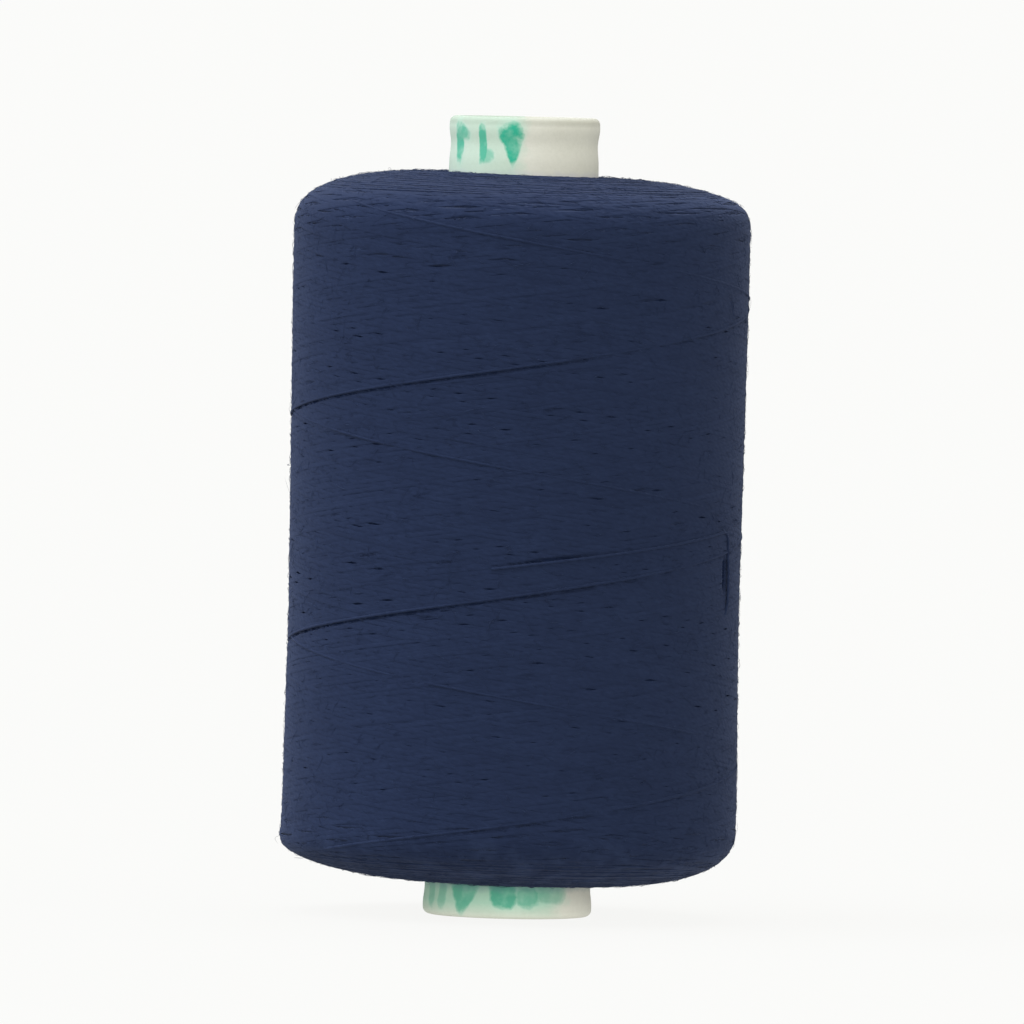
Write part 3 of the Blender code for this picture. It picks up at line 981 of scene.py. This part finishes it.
def thread_material():
    """Spun polyester: two plies twisted together, hairy and matt."""
    material, tree, shader = new_material("navy_spun_polyester")
    tone_node = tree.nodes.new("ShaderNodeAttribute")
    tone_node.attribute_name = "tone"
    tone = tone_node.outputs["Fac"]
    uv = tree.nodes.new("ShaderNodeUVMap")
    uv.uv_map = "along_thread"
    along = split(tree, uv.outputs["UV"])
    place = coordinates(tree)
    twist = times(tree, along["X"], FULL_TURN / PLY_LAY)
    turn = times_plus(tree, along["Y"], 2 * FULL_TURN, twist)
    groove = math_node(tree, "SINE", turn)
    stretched = tree.nodes.new("ShaderNodeVectorMath")
    stretched.operation = "MULTIPLY"
    stretched.inputs[1].default_value = (1.0, 1.0, 2.6)
    tree.links.new(place, stretched.inputs[0])
    fibre = noise(tree, place, 9000.0, 3.0, 0.7)
    felt = noise(tree, stretched.outputs["Vector"], 1700.0, 3.0, 0.65)
    mottle = noise(tree, place, 600.0, 3.0, 0.6)
    broad = noise(tree, place, 120.0, 2.0, 0.5)
    level = times_plus(tree, tone, 0.032, -0.04)
    for signal, amount in ((groove, 0.03), (fibre, 0.20), (felt, 0.45), (mottle, 0.26)):
        level = times_plus(tree, signal, amount, level)
    level = times_plus(tree, broad, 0.20, level, clamp=True)
    colour = ramp(tree, level, *NAVY)
    # Painted shade: where furrows and nicks have lowered the tone, the navy is mixed towards a
    # near-black.
    painted_furrow_shade = times_plus(tree, tone, -0.11, -0.25, clamp=True)
    colour = mix(tree, painted_furrow_shade, colour, NAVY_PAINTED_SHADE)
    # Painted light from the floor: near the foot the navy is made paler, in patches.
    height = split(tree, place)["Z"]
    floor_lit = times_plus(tree, height, -1 / (FLOOR_LIT_FADE * MM), FLOOR_LIT_BELOW / FLOOR_LIT_FADE, clamp=True)
    uneven_painted_light = times_plus(tree, mottle, 5.0, -2.25, clamp=True)
    floor_lit = times(tree, times(tree, floor_lit, uneven_painted_light), FLOOR_LIT_MOST)
    colour = mix(tree, floor_lit, colour, NAVY_FLOOR_LIT)
    normal = bump(tree, groove, 0.25, 0.00002, bump(tree, fibre, 0.4, 0.00003))
    dress(tree, shader, colour, normal, {
        "Roughness": 0.9, "Specular IOR Level": 0.06, "Sheen Weight": 0.05, "Sheen Roughness": 0.5,
        "Sheen Tint": (0.45, 0.58, 1.0, 1.0)})
    return material


def core_material():
    """Deeper turns seen through the gaps: darker, with the lines of thread."""
    material, tree, shader = new_material("navy_deeper_turns")
    place = coordinates(tree)
    grain = noise(tree, place, 2500.0, 3.0, 0.6)
    line = times(tree, split(tree, place)["Z"], FULL_TURN / (2 * STRAND_RADIUS * MM))
    line = math_node(tree, "SINE", times_plus(tree, grain, 4.0, line))
    level = times_plus(tree, line, 0.25, grain, clamp=True)
    normal = bump(tree, line, 0.8, 0.00008)
    colour = ramp(tree, level, *NAVY_DEEPER)
    dress(tree, shader, colour, normal, {"Roughness": 0.9, "Specular IOR Level": 0.0})
    return material


def paper_colour(tree, place, light, dark):
    """Slightly uneven paper: its colour, and its fine fibres for the bump."""
    fibres = noise(tree, place, 3500.0, 5.0, 0.7)
    cloud = noise(tree, place, 260.0, 3.0, 0.6)
    level = times_plus(tree, fibres, 0.5, times(tree, cloud, 0.5))
    return ramp(tree, level, (0.25, dark), (0.75, light)), fibres


def plain_paper(name, light, dark):
    material, tree, shader = new_material(name)
    colour, fibres = paper_colour(tree, coordinates(tree), light, dark)
    dress(tree, shader, colour, bump(tree, fibres, 0.5, 0.00005), {"Roughness": 0.85})
    return material


def ink_mask(tree, marks, arc, height, blur, rough):
    """The ink's strength inside the marks, with uneven edges."""
    total = None
    for middle, level, half_width, half_height, slant, taper, power, strength in marks:
        v = times_plus(tree, height, 1 / half_height, -level / half_height)
        u = times_plus(tree, arc, 1 / half_width, -middle / half_width)
        u = times_plus(tree, v, slant, u)
        widen = times_plus(tree, v, taper / 2, 1 - taper / 2)
        u = math_node(tree, "DIVIDE", u, math_node(tree, "MAXIMUM", widen, 0.15))
        u, v = (math_node(tree, "POWER", math_node(tree, "ABSOLUTE", w), power) for w in (u, v))
        distance = math_node(tree, "ADD", math_node(tree, "ADD", u, v), rough)
        mask = times_plus(tree, distance, -1 / blur, (1 + blur / 2) / blur, clamp=True)
        mask = times(tree, mask, strength)
        total = mask if total is None else math_node(tree, "MAXIMUM", total, mask)
    return total


def wash_mask(tree, wash, here, arc, height, rough):
    """A thin film of ink to the left of an arc, which fades out there and towards
    the foot's edge."""
    end, fade, strength = wash
    mask = times_plus(tree, arc, -1 / fade, 0.5 + end / fade)
    mask = times_plus(tree, rough, 0.5, mask, clamp=True)
    mask = times(tree, times(tree, mask, strength), here)
    return times(tree, mask, times_plus(tree, height, 0.75, 0.10, clamp=True))


def printed_paper():
    """The tube's cover: cream paper with smudged green marks near both rims."""
    material, tree, shader = new_material("printed_cover_paper")
    place = coordinates(tree)
    colour, fibres = paper_colour(tree, place, *COVER_PAPER)
    parts = split(tree, place)
    angle = math_node(tree, "ARCTAN2", parts["X"], times(tree, parts["Y"], -1.0))
    arc = times(tree, angle, MARKS_RADIUS)
    height = times(tree, parts["Z"], 1 / MM)
    on_top = math_node(tree, "GREATER_THAN", height, HALF_WAY)
    on_foot = math_node(tree, "SUBTRACT", 1.0, on_top)
    wobble = noise(tree, place, 1100.0, 3.0, 0.6)
    edge = times_plus(tree, wobble, 2.6, -1.3)
    patch = times_plus(tree, noise(tree, place, 700.0, 3.0, 0.6), 1.5, 0.2, clamp=True)
    # Painted shade: the cover's upper part is painted a little darker than its foot.
    colour = mix(tree, on_top, colour, UPPER_PAINTED_SHADE, "MULTIPLY")
    # Painted shade on the rim's top, darker with height, where the lights from above fall on it.
    rim = times_plus(tree, height, RIM_SLOPE, -RIM_SLOPE * RIM_ABOVE, clamp=True)
    colour = mix(tree, rim, colour, RIM_PAINTED_SHADE, "MULTIPLY")
    for marks, (*wash, film), here in (
            (TOP_MARKS, TOP_WASH, on_top), (FOOT_MARKS, FOOT_WASH, on_foot)):
        colour = mix(tree, wash_mask(tree, wash, here, arc, height, edge), colour, film, "MULTIPLY")
        halo = ink_mask(tree, marks, arc, height, HALO_BLUR, edge)
        colour = mix(tree, times(tree, halo, HALO_STRENGTH), colour, HALO)
        ink = ink_mask(tree, marks, arc, height, INK_BLUR, edge)
        colour = mix(tree, times(tree, ink, patch), colour, INK)
    # Painted shade, tinted bluish, where the cover meets the winding at the foot and under the top,
    # with a wavy edge.
    uneven_painted_light = times_plus(tree, wobble, 0.9, height)
    foot_painted_shade = times_plus(tree, uneven_painted_light, PAINTED_SHADE_SLOPE, -PAINTED_SHADE_SLOPE * FOOT_PAINTED_SHADE_ABOVE, clamp=True)
    foot_painted_shade = math_node(tree, "SUBTRACT", foot_painted_shade, on_top, clamp=True)
    colour = mix(tree, times(tree, foot_painted_shade, FOOT_PAINTED_SHADE_MOST), colour, FOOT_PAINTED_SHADE)
    top_painted_shade = times_plus(tree, uneven_painted_light, -PAINTED_SHADE_SLOPE, PAINTED_SHADE_SLOPE * TOP_PAINTED_SHADE_BELOW, clamp=True)
    top_painted_shade = times(tree, top_painted_shade, on_top)
    colour = mix(tree, times(tree, top_painted_shade, TOP_PAINTED_SHADE_MOST), colour, TOP_PAINTED_SHADE)
    normal = bump(tree, fibres, 0.4, 0.00004)
    dress(tree, shader, colour, normal, {"Roughness": 0.7, "Specular IOR Level": 0.3})
    return material


# ---- the tube


def bell(distance):
    return 0.5 + 0.5 * math.cos(math.pi * min(abs(distance) / RIDGE_HALF_WIDTH, 1.0))


def rim_profile(at_top):
    """One rim of the cover from the bore over the end and down its outer side."""
    bead, groove = TOP_RIM if at_top else FOOT_RIM
    end = TUBE_LENGTH if at_top else 0.0
    inward = -1 if at_top else 1
    bore = tube_radius(end) - TUBE_WALL

    def side(depth):
        swell = bead * bell(depth - BEAD_CENTRE) - groove * bell(depth - GROOVE_CENTRE)
        return tube_radius(end + inward * depth) + swell

    points = [(bore, COVER_THICKNESS), (bore, BORE_CHAMFER), (bore + BORE_CHAMFER, 0.0)]
    edge = side(RIM_CORNER) - RIM_CORNER
    for i in range(CORNER_STEPS + 1):
        t = math.pi / 2 * (1 - i / CORNER_STEPS)
        points.append((edge + RIM_CORNER * math.cos(t), RIM_CORNER * (1 - math.sin(t))))
    points += [(side(depth), depth) for depth in np.linspace(RIM_CORNER, RIM_DEPTH, RIM_STEPS)[1:]]
    return [(radius, end + inward * depth) for radius, depth in points]


def handled_rim(angle, height):
    """The tube isn't perfectly round where it stands out of the winding."""
    near_end = np.exp(-np.minimum(height, TUBE_LENGTH - height) / 2.5)
    waves = 0.035 * np.sin(2 * angle + 0.7) + 0.018 * np.sin(5 * angle + 0.4 * height)
    return near_end * (waves + 0.010 * np.sin(11 * angle - height))


def make_cover(material):
    """The printed cover ply, turned in over both rims."""
    outline = rim_profile(True) + rim_profile(False)[::-1]
    for height in (COVER_THICKNESS, TUBE_LENGTH - COVER_THICKNESS):
        outline.append((tube_radius(height) - COVER_THICKNESS, height))
    obj = revolve("printed_cover", outline, COVER_SEGMENTS, handled_rim)
    return finish_piece(obj, material, "cover_paper", "tube_cover")


def paint_node(node, material):
    """A better material on a CAD node that stays."""
    for material_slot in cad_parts[node].material_slots:
        material_slot.material = material


# ---- the set


def make_floor():
    """A pale table that is mostly lit from below, as a light table is."""
    material, _, shader = new_material("pale_floor")
    set_sockets(shader, {
        "Base Color": (*FLOOR_COLOUR, 1.0), "Roughness": 1.0, "Specular IOR Level": 0.0,
        "Emission Color": (*FLOOR_GLOW_COLOUR, 1.0), "Emission Strength": FLOOR_GLOW})
    mesh = bpy.data.meshes.new("floor")
    half = FLOOR_HALF_SIZE
    corners = [(-half, -half, 0), (half, -half, 0), (half, half, 0), (-half, half, 0)]
    mesh.from_pydata(corners, [], [(0, 1, 2, 3)])
    floor = add_object("floor", mesh)
    mesh.materials.append(material)


def soft_light(name, azimuth, elevation, irradiance, spread, colour):
    """A large soft light far away. Azimuth runs from the front towards +X."""
    light = bpy.data.lights.new(name, "SUN")
    light.energy = irradiance
    light.color = colour
    light.angle = math.radians(spread)
    obj = add_object(name, light)
    a, e = math.radians(azimuth), math.radians(elevation)
    towards = Vector((math.cos(e) * math.sin(a), -math.cos(e) * math.cos(a), math.sin(e)))
    obj.location = towards
    obj.rotation_mode = "QUATERNION"
    obj.rotation_quaternion = towards.to_track_quat("Z", "Y")


def make_light():
    world = bpy.data.worlds.new("studio")
    bpy.context.scene.world = world
    world.use_nodes = True
    set_sockets(world.node_tree.nodes["Background"], {"Color": (*SKY, 1.0), "Strength": 1.0})
    bpy.context.scene.view_settings.view_transform = "Standard"
    for setting in SOFT_LIGHTS:
        soft_light(*setting)


def make_camera():
    data = bpy.data.cameras.new("camera")
    data.sensor_width = SENSOR
    data.lens = SENSOR * CAMERA_DISTANCE / VIEW_WIDTH
    data.clip_start = 0.05
    data.clip_end = 1000.0
    camera = add_object("camera", data)
    place = Vector((AIM_RIGHT, -CAMERA_DISTANCE, CAMERA_HEIGHT))
    aim = Vector((AIM_RIGHT, 0, AIM_UP))
    camera.rotation_mode = "QUATERNION"
    look = (aim - place).to_track_quat("-Z", "Y")
    roll = Matrix.Rotation(VIEW_LEAN, 4, "Z").to_quaternion()
    camera.location = place
    camera.rotation_quaternion = look @ roll
    bpy.context.scene.camera = camera


def main():
    make_camera()
    make_light()
    make_floor()
    thread = thread_material()
    make_cover(printed_paper())
    paint_node("tube_board", plain_paper("greyboard", *BOARD_PAPER))
    paint_node("tube_liner", plain_paper("liner_paper", *LINER_PAPER))
    paint_node("thread_first_turns", thread)
    base, surface, ends, layers = wind_package()
    make_core(base, core_material())
    for name, seed, stretches in zip(("top_end_turns", "foot_end_turns"), (31, 32), ends):
        make_strands(name, stretches, 4, END_COLUMN_STEP, seed, thread)
    for seed, (name, stretches) in enumerate(zip(LAYER_NAMES, layers), 40):
        make_strands(name, stretches, 6, COLUMN_STEP, seed, thread)
    rng = np.random.default_rng(3)
    make_pass(surface, "last_pass_down", "thread_down_pass", DOWN_PASS, rng, thread)
    make_thread_end(surface, thread)
    make_pass(surface, "last_pass_up", "thread_up_pass", UP_PASS, rng, thread)
    make_fibres(surface, LYING, thread)
    make_fibres(surface, STANDING, thread)


main()
